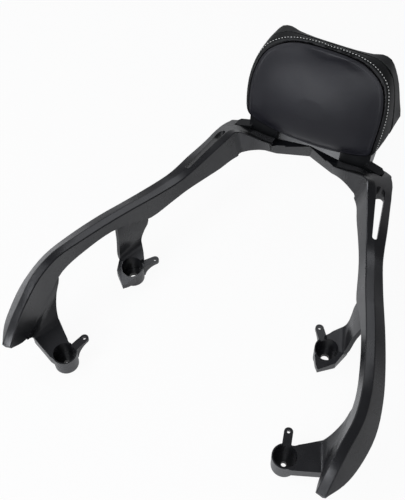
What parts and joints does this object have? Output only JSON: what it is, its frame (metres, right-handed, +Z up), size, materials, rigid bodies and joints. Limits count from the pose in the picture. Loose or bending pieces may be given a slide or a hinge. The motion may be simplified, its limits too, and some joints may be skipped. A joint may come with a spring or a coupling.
{
  "type": "luggage rack with backrest",
  "caption": "Black cast luggage rack for a motor scooter, with two long grab arms on bolt bosses and a padded leather passenger backrest",
  "frame": {"origin": "under the middle of the rack's bounding box, on the plane that the four bosses stand on", "axes": "+X to the rider's right, +Y to the rear, +Z up"},
  "size_m": [0.4838, 0.5394, 0.2429],
  "materials": {
    "rail_paint": "satin black powder coat on cast aluminium",
    "stay_paint": "satin black powder coat on cast aluminium",
    "face_leather": "smooth black leather",
    "gusset_leather": "smooth black leather, pale stitching",
    "foam": "moulded foam, weighed as a light fabric",
    "board_plastic": "moulded",
    "shell_plastic": "fine grain",
    "steel": "zinc plated"
  },
  "bodies": {
    "root": {"grab_rail": "rail_paint", "backrest_stay": "stay_paint", "stay_bolt_left_inner": "steel", "stay_bolt_left_outer": "steel", "stay_bolt_right_inner": "steel", "stay_bolt_right_outer": "steel", "stay_washer_left_inner": "steel", "stay_washer_left_outer": "steel", "stay_washer_right_inner": "steel", "stay_washer_right_outer": "steel", "face_panel": "face_leather", "gusset_band": "gusset_leather", "foam_core": "foam", "base_board": "board_plastic", "back_shell": "shell_plastic", "pad_bolt_left_lower": "steel", "pad_bolt_left_upper": "steel", "pad_bolt_right_lower": "steel", "pad_bolt_right_upper": "steel", "pad_washer_left_lower": "steel", "pad_washer_left_upper": "steel", "pad_washer_right_lower": "steel", "pad_washer_right_upper": "steel", "t_nut_left_lower": "steel", "t_nut_left_upper": "steel", "t_nut_right_lower": "steel", "t_nut_right_upper": "steel", "shell_screw_left_lower": "steel", "shell_screw_left_upper": "steel", "shell_screw_right_lower": "steel", "shell_screw_right_upper": "steel"}
  },
  "joints": []
}
